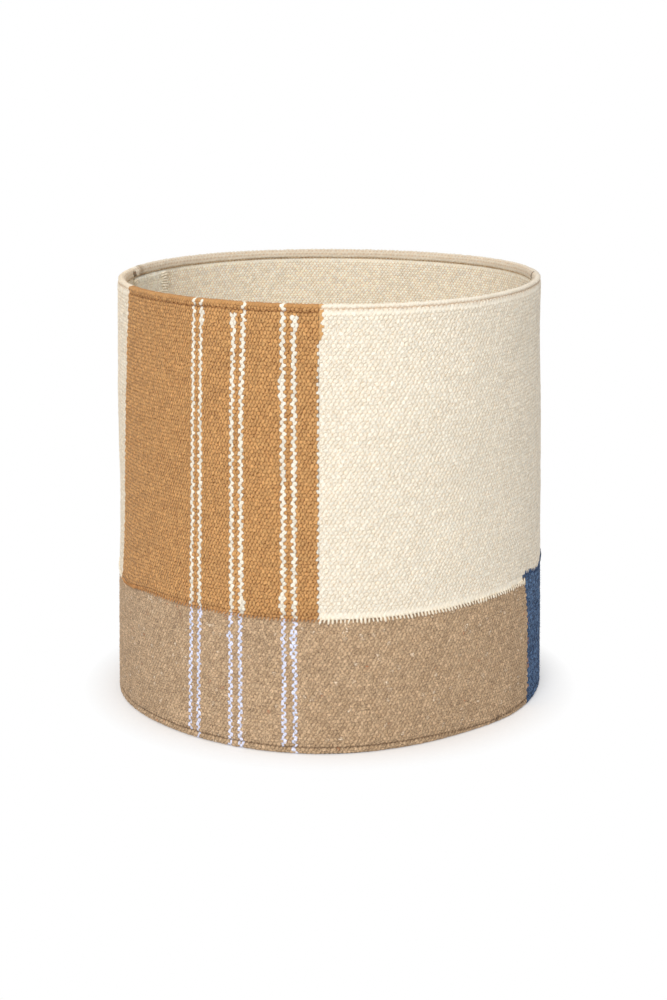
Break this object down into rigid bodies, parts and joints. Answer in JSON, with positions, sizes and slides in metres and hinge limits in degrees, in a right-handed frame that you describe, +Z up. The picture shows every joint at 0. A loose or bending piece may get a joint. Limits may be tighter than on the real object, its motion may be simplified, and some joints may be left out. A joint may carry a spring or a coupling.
{
  "type": "handwoven basket",
  "caption": "Round open floor basket of thick woven cloth in blocks of tan, cream, taupe and blue, with rolled hems and a cream lining.",
  "frame": {"origin": "centre of the foot, on the surface that the basket stands on", "axes": "+Z up along the basket's axis; -Y towards the front, where the tan and cream blocks meet; +X to the right of the front"},
  "size_m": [0.4006, 0.4008, 0.4],
  "materials": {
    "tan_cloth": "woven",
    "cream_cloth": "woven",
    "taupe_cloth": "woven",
    "blue_cloth": "woven",
    "lining_cloth": "woven",
    "hoop_wire": "drawn",
    "stiffener_felt": "matte",
    "base_board": "matte"
  },
  "bodies": {
    "root": {"tan_striped_panel": "tan_cloth", "cream_right_panel": "cream_cloth", "cream_left_panel": "cream_cloth", "taupe_striped_panel": "taupe_cloth", "blue_panel": "blue_cloth", "rim_hoop": "hoop_wire", "foot_hoop": "hoop_wire", "wall_stiffener": "stiffener_felt", "lining_wall": "lining_cloth", "lining_seam_strip": "lining_cloth", "base_cloth": "taupe_cloth", "base_board": "base_board", "base_lining": "lining_cloth"}
  },
  "joints": []
}
